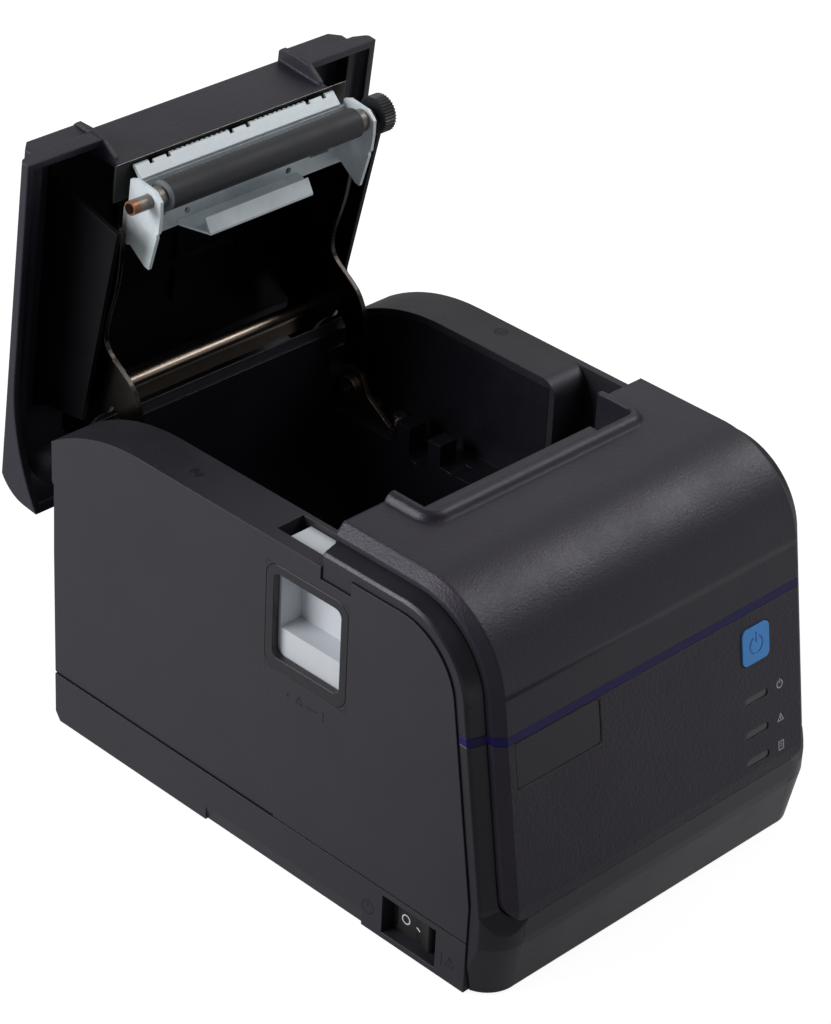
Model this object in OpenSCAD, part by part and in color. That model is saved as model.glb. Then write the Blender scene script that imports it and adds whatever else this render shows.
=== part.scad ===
// Receipt printer for 80 mm paper rolls, with its top cover standing open.
// Millimetres. X runs across the printer, the front faces -Y, and Z is up.

/* [Case] */
// overall width of the case
body_w = 145; // [130:1:160]
// height of the joint between the base and the upper case
seam_z = 17.8; // [14:0.1:24]
// height of the side rails
rail_z = 115.4; // [100:0.1:130]
// wall thickness of the case mouldings
wall = 2.3; // [1.6:0.1:3.2]
// height of the styling step low on the sides
crease_z = 88.3; // [60:0.1:100]

/* [Front] */
// height of the flat top of the front cover
top_z = 126.6; // [110:0.1:140]
// radius of the rounded front shoulder
shoulder_r = 33; // [20:0.5:45]
// half width of the raised front cover
cover_half = 63; // [50:0.5:68]
// size of the bevel along both sides of the front cover
bevel = 3.1; // [1:0.1:5]
// how far the outer edges of the side ledges lie below the front cover
ledge_drop = 6.8; // [3:0.1:8]
// height of the lower edge of the coloured stripe
stripe_z = 84.4; // [60:0.1:100]
// height of the coloured stripe
stripe_h = 2.6; // [1:0.1:5]

/* [Paper opening] */
// half width of the paper opening in the front cover
slot_half = 43.2; // [40:0.1:46]
// how far the paper opening runs forward from the cover's back edge
slot_depth = 15.3; // [8:0.1:20]
// height of the raised rim around the paper opening
rim_h = 2.4; // [1:0.1:4]

/* [Top cover] */
// angle that the top cover stands open
open_angle = 83.6; // [60:0.1:100]
// distance from the front of the case frame to the cover's hinge axis, measured as Y
hinge_y = 86.8; // [80:0.1:92]
// height of the cover's hinge axis
hinge_z = 83.5; // [78:0.1:90]

/* [Paper feed] */
// diameter of the rubber platen roller
platen_d = 9.6; // [8:0.1:14]
// length of the rubber platen roller
platen_len = 79.4; // [70:0.1:84]
// diameter of the platen shaft
shaft_d = 4; // [3:0.1:6]
// diameter over the teeth of the platen gear
gear_d = 12.5; // [10:0.5:16]

/* [Controls] */
// side of the square feed button
button_w = 12.2; // [8:0.1:16]
// how far the feed button travels
button_travel = 0.8; // [0.3:0.1:1.5]
// half angle that the power rocker tips
rocker_tip = 9; // [5:0.5:12]
// how far the release lever travels down
lever_travel = 3.5; // [2:0.5:5]

/* [Hidden] */
$fn = 64;
half_w = body_w / 2;
shoulder_y = -54;
shoulder_z = top_z - shoulder_r;
front_y = -97.4;
rear_y = 97.3;
origin_y = 16.743;
origin_z = 0.8;
back_edge = -20.9;
// slope of the front face, as run over rise
rake = 0.161;
rake_a = atan(rake);
tan_y = shoulder_y - shoulder_r * cos(rake_a);
tan_z = shoulder_z + shoulder_r * sin(rake_a);
step_half = cover_half + bevel;
seam_drop = 10.3;
rim_r = 3.4;
ledge_half = 72;
ledge_in = 4.9;
skirt_z = rail_z + 0.9;
bucket_half = 55.2;
roll_half = 41.2;
bucket_back = 94.8;
platen_y = -8.8;
platen_z = 93.8;
mech_y = -1.6;
mech_z = -1.8;
arm_x = 48;
black = [0.09, 0.09, 0.1];
dark = [0.14, 0.14, 0.15];
zinc = [0.66, 0.72, 0.76];
nickel = [0.6, 0.58, 0.54];
steel = [0.7, 0.7, 0.7];
pale = [0.8, 0.82, 0.84];

// ---- helpers ---------------------------------------------------------

// extrudes a YZ outline along X from x0 to x1
module across(x0, x1) {
  translate([x0, 0, 0])
    rotate([90, 0, 90])
      linear_extrude(x1 - x0)
        children();
}

// extrudes an XZ outline along Y from y0 to y1
module along(y0, y1) {
  translate([0, y1, 0])
    rotate([90, 0, 0])
      linear_extrude(y1 - y0)
        children();
}

// a cylinder along X
module rod(x0, x1, y, z, r) {
  translate([x0, y, z])
    rotate([0, 90, 0])
      cylinder(h = x1 - x0, r = r);
}

// a box given by its two corners
module block(a, b) {
  translate(a)
    cube([b[0] - a[0], b[1] - a[1], b[2] - a[2]]);
}

module both_sides() {
  children();
  mirror([1, 0, 0])
    children();
}

// turns a piece of the top cover from closed to standing open
module opened() {
  translate([0, hinge_y, hinge_z])
    rotate([-open_angle, 0, 0])
      translate([0, -hinge_y, -hinge_z])
        children();
}

// moves the design so that the part's own origin is under its middle
module placed() {
  translate([0, -origin_y, origin_z])
    children();
}

// moves the pieces of the print mechanism to their place in the case
module mech() {
  translate([0, mech_y, mech_z])
    children();
}

// a square outline with rounded corners, centred
module rounded_rect(w, h, r) {
  union() {
    square([w - 2 * r, h], center = true);
    square([w, h - 2 * r], center = true);
    for (sx = [-1, 1], sy = [-1, 1])
      translate([sx * (w / 2 - r), sy * (h / 2 - r)])
        circle(r = r);
  }
}

// front face line at height z, moved inward by s
function face_y(z, s) = tan_y - (tan_z - z) * rake + s / cos(rake_a);

// carries a flat section, given as [across, depth] points, straight down the sloping face
module face_run(pts, length) {
  translate([0, shoulder_y, shoulder_z])
    rotate([90 - rake_a, 0, 0])
      translate([0, -length, 0])
        rotate([-90, 0, 0])
          linear_extrude(length)
            polygon([for (p = pts) [p[0], p[1] - shoulder_r]]);
}

// carries a section over the top, round the shoulder and down the face
module swept(pts, zb, yb, gap = 0.03) {
  union() {
    along(shoulder_y, yb)
      polygon([for (p = pts) [p[0], top_z - p[1]]]);
    translate([0, shoulder_y, shoulder_z])
      rotate([0, 90, 0])
        rotate_extrude(angle = 98 - rake_a, start = 176)
          polygon([for (p = pts) [shoulder_r - p[1] + gap, p[0]]]);
    difference() {
      face_run(pts, 120);
      block([-90, -140, -60], [90, 0, zb]);
    }
  }
}

// places things on the sloping front face: local Z points out of it
module on_face(x, z) {
  translate([x, face_y(z, 0), z])
    rotate([90 - rake_a, 0, 0])
      children();
}

// outline of the side rails' top, lowered by d, behind the front
module rail_outline(d) {
  intersection() {
    union() {
      translate([57, rail_z - 72.7])
        circle(r = 72.7 - d, $fn = 128);
      translate([-60, 0])
        square([117, rail_z - d]);
    }
    translate([-60, 0])
      square([157.3, rail_z - d]);
  }
}

// a closely wound spring, drawn as a ridged sleeve with n turns
module coil(r, h, n) {
  rotate_extrude()
    polygon(concat(
      [for (i = [0 : 2 * n]) [r - (i % 2 == 0 ? 0.35 : 0), i * h / (2 * n)]],
      [for (i = [2 * n : -1 : 0]) [r - (i % 2 == 0 ? 0.6 : 0.95), i * h / (2 * n)]]
    ));
}

// a ring of small notches around a gear blank
module toothed(r, h, teeth, depth) {
  difference() {
    cylinder(h = h, r = r);
    for (i = [0 : teeth - 1])
      rotate([0, 0, i * 360 / teeth])
        translate([r, 0, -1])
          rotate([0, 0, 45])
            cube([depth, depth, 2 * h + 2], center = true);
  }
}

// ---- case ------------------------------------------------------------

screw_at = [[60, -42], [60, 72]];
foot_at = [[58, -74], [58, 84]];
board_at = [[-50, -20], [50, -20], [-50, 60], [50, 60]];

module base_tub() {
  color(black)
    difference() {
      union() {
        difference() {
          across(-half_w, half_w)
            polygon([[-86.5, 0], [94.8, 0], [96.9, 3], [96.9, seam_z - 0.2], [-86.5, seam_z - 0.2]]);
          block([-half_w + wall, -84.2, 2.4], [half_w - wall, 94.5, 20]);
        }
        // wall of the power switch pocket
        block([-half_w + 1, -75.8, 1], [-65.2, -51.2, 16.9]);
        for (p = screw_at)
          both_sides()
            translate([p[0], p[1], 1])
              cylinder(h = seam_z - 1.3, r = 4.4);
        for (p = board_at)
          translate([p[0], p[1], 1])
            cylinder(h = 8, r = 3);
        // stiffening ribs
        for (y = [-40, 30])
          block([-44, y, 2], [44, y + 1.6, 6]);
      }
      // power switch pocket
      block([-half_w - 1, -74.6, 2], [-66.5, -52.4, 15.7]);
      block([-67, -73.2, 2.6], [-60, -53.8, 15.1]);
      // grips scooped out of the lower side edges
      both_sides()
        along(-44, 25)
          polygon([[half_w - 1, -1], [half_w - 1, 0], [half_w + 0.1, 5.6], [half_w + 2, 5.6],
                   [half_w + 2, -1]]);
      for (p = screw_at)
        both_sides()
          translate([p[0], p[1], -1]) {
            cylinder(h = 30, r = 1.7);
            cylinder(h = 3.6, r = 3.1);
          }
      for (p = board_at)
        translate([p[0], p[1], 4])
          cylinder(h = 10, r = 1.3);
      for (p = foot_at)
        both_sides()
          translate([p[0], p[1], -1])
            cylinder(h = 2.2, r = 6.2);
      // mounting holes for a wall bracket
      for (x = [-35, 35], y = [-70, 40])
        translate([x, y, -1])
          cylinder(h = 5, r = 1.8);
      // opening for the connector plate
      block([-52, 90, 6], [52, 100, 20]);
      // slots that let warm air out
      for (i = [0 : 7])
        block([-28 + i * 8, -25, -1], [-26 + i * 8, -5, 4]);
    }
}

module upper_case() {
  color(black)
    difference() {
      union() {
        difference() {
          across(-half_w, half_w)
            side_shape();
          // hollow inside
          difference() {
            across(-half_w + wall, half_w - wall)
              difference() {
                side_hollow();
              }
            // the rails stay
            both_sides()
              across(bucket_half, half_w)
                difference() {
                  rail_outline(0);
                  rail_outline(2.4);
                }
          }
          // open front end and opening over the paper
          block([-bucket_half, -21.8, 60], [bucket_half, bucket_back, 130]);
          block([-bucket_half - 1, -120, 111.3], [bucket_half + 1, -20, 130]);
          // inside of the case in front of the rails
          block([-half_w + wall, -90, 90], [half_w - wall, -21.8, 130]);
        }
        // right rail's front end
        across(bucket_half, half_w - 1)
          polygon([[6.6, 84], [6.6, 112], [9, 115], [9, 84]]);
        block([bucket_half, -21.8, 84], [half_w - 1, 9, 86]);
        // left rail's strip beside the lever, and the lever's guides
        block([-57, -21.8, 98], [-bucket_half, 3, rail_z]);
        block([-half_w + 1, 1.8, 60], [-bucket_half, 3.4, rail_z - 1]);
        block([-half_w + 1, -34.6, 60], [-58, -33, 108]);
        block([-half_w + 1, -24, 55.6], [-58.5, -10, 57.6]);
        for (p = screw_at)
          both_sides() {
            translate([p[0], p[1], seam_z + 0.2])
              cylinder(h = 12, r = 4.4);
            block([p[0], p[1] - 1, seam_z + 0.2], [half_w - 1, p[1] + 1, 28]);
          }
      }
      // rounded front end of the right rail
      difference() {
        block([bucket_half - 1, -10, rail_z - 6], [half_w - 2.4, 12.6, 120]);
        rod(40, 80, 12.6, rail_z - 6, 6);
        block([40, -11, 80], [half_w, 6.6, 109]);
      }
      block([bucket_half - 1, -22.5, 86], [half_w - 2.4, 6.6, 120]);
      // left rail: recess for the release lever
      block([-67.6, -22.5, 62], [-57, 1.8, 130]);
      // window in the left side
      across(-half_w - 1, -half_w + wall + 1)
        translate([-16.65, 89.4])
          rounded_rect(34.4, 36.7, 5.1);
      // shallow styling step low on both sides
      both_sides()
        across(half_w - 0.4, half_w + 1)
          union() {
            translate([19, crease_z - 18])
              circle(r = 18);
            polygon([[19, crease_z], [110, crease_z], [110, 0], [-6, 0], [-5, 18], [1, crease_z - 18]]);
          }
      for (p = screw_at)
        both_sides()
          translate([p[0], p[1], 10])
            cylinder(h = 19, r = 1.5);
      block([-52, 90, 10], [52, 100, 32]);
    }
}

// side outline of the upper case: it follows the front frame
module side_shape() {
  difference() {
    union() {
      translate([shoulder_y, shoulder_z])
        circle(r = shoulder_r - seam_drop - 0.25);
      polygon([
        [shoulder_y, top_z - seam_drop - 0.25], [-34.3, top_z - seam_drop - 0.25], [-34.3, 111.3],
        [-21.8, 111.3], [-21.8, 100], [0, 60], [0, seam_z + 0.2], [-86.5, seam_z + 0.2],
        [max(face_y(31, seam_drop + 0.25), -86.6), 31],
        [face_y(tan_z - 3.6, seam_drop + 0.25), tan_z - 3.6], [shoulder_y, shoulder_z]
      ]);
      intersection() {
        rail_outline(0);
        polygon([[-21.8, seam_z + 0.2], [-21.8, 130], [97.3, 130], [97.3, crease_z + 1],
                 [96.9, crease_z], [97.9, 24], [97.2, seam_z + 0.2]]);
      }
    }
    translate([-200, -200])
      square([400, 200 + seam_z + 0.2]);
  }
}

// hollow of the upper case, open at its front and its bottom
module side_hollow() {
  union() {
    intersection() {
      rail_outline(-9);
      polygon([[-21.9, 0], [-21.9, 130], [bucket_back, 130], [bucket_back, 0]]);
    }
    polygon([[-130, 0], [-130, 130], [-21.8, 130], [-21.8, 0]]);
  }
}

module paper_bucket() {
  color(dark)
    difference() {
      union() {
        // narrow well for the roll, with a round floor
        difference() {
          across(-roll_half - 1.6, roll_half + 1.6)
            union() {
              translate([47.95, 65.8])
                circle(r = 46.75, $fn = 128);
              polygon([[1.2, 65.8], [1.2, 84], [2.8, 84], [2.8, 75], [94.7, 75], [94.7, 65.8]]);
            }
          across(-roll_half, roll_half)
            union() {
              translate([47.95, 65.8])
                circle(r = 45.15, $fn = 128);
              translate([2.8, 65.8])
                square([90.3, 70]);
            }
          block([-60, 2.8, 75], [60, 100, 130]);
        }
        block([-bucket_half - 0.5, 93.1, 73.2], [bucket_half + 0.5, 94.7, 101.9]);
        both_sides() {
          // ledge and wide upper walls
          block([roll_half + 0.5, 9.2, 73.2], [bucket_half + 1.5, 94, 74.8]);
          across(bucket_half, bucket_half + 1.5)
            intersection() {
              rail_outline(2.5);
              polygon([[9.2, 73.2], [9.2, 130], [94.6, 130], [94.6, 73.2]]);
            }
          // cradles on the ledge
          block([roll_half, 29, 68], [48.6, 61.2, 74.8]);
          block([roll_half, 55, 70], [48.6, 61.2, 83]);
          block([roll_half, 41, 70], [48.6, 46.6, 82.6]);
        }
        // shelf and legs that carry the print mechanism
        block([-50, -48, 55.6], [50, 1.6, 58.2]);
        both_sides()
          block([48.4, -48, seam_z], [50, 1.6, 56]);
        // ears for the low-paper lever
        for (y = [53, 66])
          block([-49, y, 46], [-roll_half - 0.8, y + 1.6, 54.6]);
      }
      both_sides() {
        rod(roll_half - 1, 49, 50.8, 75.4, 4.25);
        block([roll_half - 1, 46.6, 75.4], [49, 55, 90]);
        rod(roll_half - 1, 49, 35.2, 79.2, 4.7);
      }
      // gap and bearing for the low-paper lever
      block([-roll_half - 3, 55.2, 30], [-roll_half + 1, 65.4, 54]);
      translate([-45.6, 50, 50])
        rotate([-90, 0, 0])
          cylinder(h = 20, r = 1.26);
      // fixings of the print mechanism
      for (x = [-40, 40], y = [-43.6, -7.6])
        translate([x, y, 50])
          cylinder(h = 20, r = 1.3);
    }
}

module apron_shape() {
  difference() {
    intersection() {
      union() {
        across(-60, 60)
          polygon([[-80, 0], [-94.1, 0], [-97.2, 17], [-97.5, 20], [-97.5, 27.6], [-96, 36], [-80, 36]]);
        // rounded front corners, drawn in towards the bottom
        both_sides() {
          translate([60, front_y + 14, 0])
            cylinder(h = 18, r1 = 10.75, r2 = 14.05);
          translate([60, front_y + 14, 17.9])
            cylinder(h = 18.1, r = 14.05);
        }
      }
      block([-ledge_half, -120, 0], [ledge_half, -86.8, 36]);
    }
    // slanting tops of the corners, down to the side ledges
    both_sides()
      translate([58, front_y - 0.1, 27])
        rotate([0, 65.74, -67.29])
          block([-60, -60, 0], [60, 60, 60]);
  }
}

module front_frame() {
  color(black)
    difference() {
      union() {
        both_sides()
          swept([[66.2, ledge_in], [ledge_half - 0.8, ledge_drop - 0.3], [ledge_half, ledge_drop + 0.5],
                 [ledge_half, seam_drop], [66.2, seam_drop]], 60, -22);
        difference() {
          low_frame();
          across(-90, 90)
            polygon([[face_y(31, seam_drop), -5], [face_y(31, seam_drop), 31],
                     [face_y(80, seam_drop), 80], [-50, 80], [-50, -5]]);
          block([-66.2, -130, 36], [66.2, 10, 130]);
          block([-90, -130, -5], [90, 0, 19]);
        }
        apron_shape();
        // rear corner tabs
        both_sides()
          block([half_w - 2.3, -34, 111.6], [ledge_half, -22, 117]);
      }
      // inside of the apron
      across(-66.5, 66.5)
        polygon([[-86, 2.4], [-90.4, 2.4], [-91, 17], [-90, 20], [-86, 20]]);
      across(-64, 64)
        polygon([[-86, 2], [-91.7, 2], [-94.6, 17], [-94.8, 22], [-86, 22]]);
      across(-57, 57)
        polygon([[-86, 20], [-94.8, 20], [-94.8, 40], [-86, 40]]);
      // seat of the coloured stripe
      intersection() {
        both_sides()
          face_run([[66.1, 3], [74, 3], [74, 11], [ledge_half - 1.4, 11],
                    [ledge_half - 1.4, ledge_drop + 1.4], [66.1, ledge_in + 2]], 60);
        block([-80, -120, stripe_z - 0.1], [80, -60, stripe_z + stripe_h + 0.1]);
      }
      panel_shape(-0.25, 91);
    }
}

// the straight lower part of the frame, with its slanted side ledges
module low_frame() {
  pts = [[ledge_half, 40], [ledge_half, ledge_drop + 0.5], [ledge_half - 0.8, ledge_drop - 0.3],
         [66.2, ledge_in], [-66.2, ledge_in], [0.8 - ledge_half, ledge_drop - 0.3],
         [-ledge_half, ledge_drop + 0.5], [-ledge_half, 40]];
  intersection() {
    linear_extrude(60)
      polygon([for (p = pts) [p[0], face_y(31, p[1])]]);
    face_run(pts, 130);
  }
}

// the straight lower part of the front, moved inward by s, with bevels b at its sides
module low_front(s, half, b, zb, zt) {
  by = b / cos(rake_a);
  intersection() {
    translate([0, 0, zb])
      linear_extrude(zt - zb)
        polygon([[-half - b, -60], [-half - b, face_y(31, s) + by], [-half, face_y(31, s)],
                 [half, face_y(31, s)], [half + b, face_y(31, s) + by], [half + b, -60]]);
    face_run([[-half - b, 60], [-half - b, s + b], [-half, s], [half, s], [half + b, s + b],
              [half + b, 60]], 130);
  }
}

// outside of the lower front panel, moved inward by s
module panel_shape(s, zt) {
  intersection() {
    low_front(s, cover_half, bevel, 20, zt);
    along(-130, -50)
      translate([0, 87 + s])
        rounded_rect(2 * (step_half - s), 120, 7 - s);
  }
}

module front_cover() {
  y_in = back_edge - slot_depth;
  rim = [[-0.5, -2], [-0.5, rim_h], [1.4, rim_h], [2.5, rim_h - 0.6], [3.5, 0.5], [4.2, -0.2], [4.2, -2]];
  color(black)
    union() {
      difference() {
        union() {
          swept([[-step_half, 8], [-step_half, bevel], [-cover_half, 0], [cover_half, 0],
                 [step_half, bevel], [step_half, 8], [step_half - 2.4, 8], [step_half - 2.4, 3.2],
                 [cover_half - 0.6, 2.4], [0.6 - cover_half, 2.4], [2.4 - step_half, 3.2],
                 [2.4 - step_half, 8]], stripe_z + stripe_h + 0.1, back_edge, 0.004);
          // raised rim around the paper opening: two sides, the front and two corners
          both_sides()
            along(y_in + rim_r, back_edge)
              polygon([for (p = rim) [slot_half + p[0], top_z + p[1]]]);
          across(rim_r - slot_half, slot_half - rim_r)
            polygon([for (p = rim) [y_in - p[0], top_z + p[1]]]);
          both_sides()
            translate([slot_half - rim_r, y_in + rim_r, top_z])
              rotate_extrude(angle = 98, start = 266)
                polygon([for (p = rim) [rim_r + p[0] + 0.03, p[1]]]);
          // inner walls of the opening
          along(y_in - 1.6, back_edge)
            translate([0, top_z - 6])
              square([2 * slot_half + 3.2, 11], center = true);
        }
        // the paper opening itself
        translate([0, y_in + 15, 80])
          linear_extrude(80)
            rounded_rect(2 * slot_half, 30, rim_r);
        block([-slot_half, back_edge - 6, 80], [slot_half, 0, 160]);
      }
      // guide lip inside the opening
      block([0.2 - slot_half, y_in - 1, top_z - 2.4], [28, y_in + 4.4, top_z + 1.2]);
    }
}

module front_panel() {
  color(dark)
    difference() {
      panel_shape(0, stripe_z - 0.25);
      low_front(2.2, cover_half - 1.1, bevel - 1, 10, 92);
      block([-80, -84, 20], [80, 0, 100]);
      // button, lamp slots and badge seat
      on_face(42.7, 73.2)
        translate([0, 0, -8])
          linear_extrude(20)
            rounded_rect(button_w + 0.5, button_w + 0.5, 2.3);
      for (z = [55.1, 43.7, 34.2])
        on_face(42.6, z)
          translate([0, 0, -8])
            linear_extrude(20)
              rounded_rect(10.4, 2.6, 1.29);
      on_face(-42.9, 76.7)
        translate([0, 0, -0.5])
          linear_extrude(5)
            rounded_rect(34.9, 14.8, 1.3);
    }
}

module trim_stripe() {
  half = [[0, 0], [cover_half, 0], [step_half, bevel], [step_half, ledge_in],
          [ledge_half - 0.8, ledge_drop - 0.3], [ledge_half, ledge_drop + 0.5], [ledge_half, seam_drop],
          [ledge_half - 1.3, seam_drop], [ledge_half - 1.3, ledge_drop + 1.2],
          [step_half - 1.3, ledge_in + 1.5], [step_half - 1.3, bevel + 0.5], [cover_half - 0.6, 1.4],
          [0, 1.4]];
  color([0.2, 0.16, 0.5])
    intersection() {
      face_run(concat([for (i = [1 : 11]) half[i]], [for (i = [11 : -1 : 1]) [-half[i][0], half[i][1]]]),
               60);
      block([-90, -130, stripe_z], [90, -50, stripe_z + stripe_h]);
    }
}

module badge_plate() {
  color([0.11, 0.11, 0.12])
    on_face(-42.9, 76.7)
      translate([0, 0, -0.48])
        linear_extrude(0.4)
          rounded_rect(34.5, 14.4, 1.1);
}

module led_lenses() {
  color([0.25, 0.26, 0.27])
    for (z = [55.1, 43.7, 34.2])
      on_face(42.6, z)
        translate([0, 0, -2.6])
          linear_extrude(2.3)
            rounded_rect(10.1, 2.3, 1.14);
}

module panel_board() {
  color([0.1, 0.35, 0.2])
    on_face(42.7, 56) {
      translate([-14, -27, -10.4])
        cube([28, 54, 1.6]);
      translate([-3, 14.3, -8.8])
        cube([6, 6, 3.2]);
      translate([0, 17.3, -5.7])
        cylinder(h = 0.5, r = 1.7);
      for (d = [0.9, 12.5, 22.1])
        translate([0, -d, -8.8])
          cylinder(h = 5, r = 1.4);
    }
}

module feed_button() {
  color([0.12, 0.42, 0.78])
    on_face(42.7, 73.2)
      difference() {
        union() {
          translate([0, 0, -3.4])
            linear_extrude(3.8)
              rounded_rect(button_w, button_w, 2.1);
          translate([0, 0, -3.4])
            linear_extrude(1)
              rounded_rect(button_w + 1.6, button_w + 1.6, 2.4);
          translate([0, 0, -4.3])
            cylinder(h = 1.5, r = 1.6);
        }
        // standby mark, engraved
        translate([0, -0.3, 0.15])
          difference() {
            cylinder(h = 1, r = 3.1);
            translate([0, 0, -1])
              cylinder(h = 3, r = 2.6);
            translate([-1.1, 0, -1])
              cube([2.2, 5, 3]);
          }
        translate([-0.25, 0.4, 0.15])
          cube([0.5, 3.6, 1]);
      }
}

module window_bezel() {
  color(black)
    across(-half_w, -half_w + 2.2)
      difference() {
        translate([-16.65, 89.4])
          rounded_rect(34, 36.3, 4.9);
        translate([-16.7, 90])
          rounded_rect(28.2, 29.2, 2.6);
      }
}

// ---- cover release ----------------------------------------------------

module release_lever() {
  color(pale)
    difference() {
      union() {
        block([-69.8, -31.6, 72], [-58, -1.6 - 0.4, 106.5]);
        block([-67.2, -21, 106], [-57.4, -2, 113.5]);
      }
      // finger pocket
      block([-80, -30.4, 84.5], [-61.6, -3.2, 105.2]);
      // hollow back, and seat of the spring
      block([-67.5, -29, 70], [-57, -3.6, 82]);
    }
}

module lever_spring() {
  color(steel)
    translate([-64, -17, 57.7])
      coil(3.3, 24.2, 14);
}

// ---- power switch -----------------------------------------------------

module switch_body() {
  color([0.05, 0.05, 0.05])
    difference() {
      union() {
        block([-68, -74.3, 2.2], [-66.5, -52.7, 15.5]);
        block([-66.6, -73, 2.8], [-54, -54, 14.9]);
        for (y = [-69, -63.5, -58])
          block([-54.1, y - 0.4, 6.5], [-48, y + 0.4, 11.3]);
      }
      block([-70, -72.6, 3.6], [-56.5, -54.4, 14.1]);
      translate([-65.6, -63.5, 2.9])
        cylinder(h = 11.9, r = 0.86);
    }
}

module power_rocker() {
  color([0.07, 0.07, 0.07])
    translate([-65.6, -63.5, 0])
      rotate([0, 0, -rocker_tip])
        union() {
          difference() {
            translate([0, 0, 3.9])
              cylinder(h = 9.9, r = 8.7);
            translate([1.6, -20, 0])
              cube([20, 40, 20]);
            // two faces that meet in a shallow valley
            translate([0, 0, 3])
              linear_extrude(14)
                polygon([[-20, -10], [-4.7, -10], [-3.1, 0], [-4.7, 10], [-20, 10]]);
          }
          translate([0, 0, 3])
            cylinder(h = 11.7, r = 0.8);
        }
}

// ---- hinge ------------------------------------------------------------

module hinge_brackets() {
  color(nickel)
    both_sides()
      difference() {
        union() {
          across(45, 46.6)
            polygon([[66, 74.9], [78.5, 83], [82, 90], [88, 91.2], [92.6, 88], [92.6, 74.9]]);
          block([45, 66, 74.9], [54.8, 92.6, 76.3]);
          // clip against the rear wall
          block([40, 91.4, 84], [46.6, 92.9, 97]);
        }
        rod(40, 60, hinge_y, hinge_z, 2.5);
        for (y = [70, 82])
          translate([52, y, 70])
            cylinder(h = 10, r = 1.3);
      }
}

module hinge_pins() {
  color(steel)
    both_sides()
      difference() {
        union() {
          rod(43.8, 50.2, hinge_y, hinge_z, 2.48);
          rod(43.6, 44.9, hinge_y, hinge_z, 3.8);
          rod(49.1, 50.4, hinge_y, hinge_z, 4);
        }
        rod(43, 46, hinge_y, hinge_z, 1.6);
      }
}

// ---- top cover, drawn closed ---------------------------------------------

cover_front = -18.9;
cover_rear = 100.6;
end_bar_y = -14.4;
// half width of the raised middle, half width over all, and height of the middle
lid_mid = 62;
lid_half = 71.4;
lid_z = top_z + 2;

// lower edge of the cover's skirt
module below_skirt(x) {
  across(-x, x)
    union() {
      translate([57, rail_z - 72.7])
        circle(r = 73.6, $fn = 128);
      translate([-80, 0])
        square([137, skirt_z]);
      translate([57, 0])
        square([44, 101.9]);
    }
}

// raised middle of the cover, moved inward by s
module cover_middle(s, half, b) {
  r = lid_z - 108;
  union() {
    along(cover_front + 1 + s, 80)
      polygon([[-half - b, 90], [-half - b, lid_z - s - b], [-half, lid_z - s], [half, lid_z - s],
               [half + b, lid_z - s - b], [half + b, 90]]);
    rod(-half, half, 80, 108, r - s);
    both_sides()
      translate([half, 80, 108])
        rotate([0, 90, 0])
          cylinder(h = b, r1 = r - s, r2 = r - s - b);
    across(-half - b, half + b)
      polygon([[80, 90], [80, 108], [cover_rear - s - b, 108], [cover_rear - s - b, 90]]);
    across(-half, half)
      polygon([[80, 90], [80, 108], [cover_rear - s, 108], [cover_rear - s, 90]]);
  }
}

// side ledges of the cover, moved inward by s
module cover_ledge(s) {
  top = top_z - ledge_in - s;
  intersection() {
    across(-lid_half + s, lid_half - s)
      union() {
        translate([cover_rear - top - s + 108, 108])
          circle(r = top - 108);
        polygon([[cover_front + s, 80], [cover_front + s, top], [cover_rear - top - s + 108, top],
                 [cover_rear - top - s + 108, 108], [cover_rear - s, 108], [cover_rear - s, 80]]);
      }
    along(-40, 120)
      polygon([[s - lid_half, 80], [s - lid_half, top_z - ledge_drop - 0.5 - s],
               [s + 0.8 - lid_half, top_z - ledge_drop + 0.3 - s], [-65.6, top_z - ledge_in - s + 0.2],
               [-65.6, 140], [65.6, 140], [65.6, top_z - ledge_in - s + 0.2],
               [lid_half - 0.8 - s, top_z - ledge_drop + 0.3 - s],
               [lid_half - s, top_z - ledge_drop - 0.5 - s], [lid_half - s, 80]]);
  }
}

module cover_shell() {
  opened()
    color(black) {
      difference() {
        union() {
          cover_middle(0, lid_mid, bevel);
          cover_ledge(0);
        }
        cover_middle(2.4, lid_mid - 1, bevel - 1);
        cover_ledge(2.4);
        below_skirt(90);
        // recess in front of the end bar
        block([-42.9, -30, 60], [42.9, end_bar_y, 140]);
      }
      // end bar and the ears beside it
      block([-43.1, end_bar_y, 107], [43.1, end_bar_y + 2, lid_z - 1]);
      both_sides()
        across(41.4, 43)
          polygon([[-12.6, lid_z + 0.8], [-17.6, lid_z + 0.8], [-18.8, lid_z - 0.4], [-19.3, 123], [-18.9, 116],
                   [-15.4, 110.2], [-13.9, 109.4], [-12.6, 109.4]]);
    }
}

module cover_frame() {
  opened()
    color(dark)
      difference() {
        union() {
          block([-54.8, -10.9, 124.6], [54.8, 79, 126.15]);
          both_sides()
            across(53.2, 54.8)
              polygon([[-5.4, 125], [-1.2, 93.6], [71.4, 102.6], [77, 125]]);
          // ribs under the ceiling
          for (x = [-27, 0, 27])
            block([x - 0.6, -8, 123.4], [x + 0.6, 58, 125]);
          for (y = [22, 44])
            block([-44, y - 0.6, 123.4], [44, y + 0.6, 125]);
        }
        for (x = [-40, 40])
          translate([x, 30, 110])
            cylinder(h = 20, r = 1.4);
      }
}

// a smooth curve through the points p, from the second to the last but one, in n steps each
function curve(p, n) = concat(
  [for (i = [1 : len(p) - 3], k = [0 : n - 1])
    let (t = k / n)
      0.5 * (2 * p[i] + (p[i + 1] - p[i - 1]) * t
        + (2 * p[i - 1] - 5 * p[i] + 4 * p[i + 1] - p[i + 2]) * t * t
        + (3 * p[i] - p[i - 1] - 3 * p[i + 1] + p[i + 2]) * t * t * t)],
  [p[len(p) - 2]]);

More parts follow.
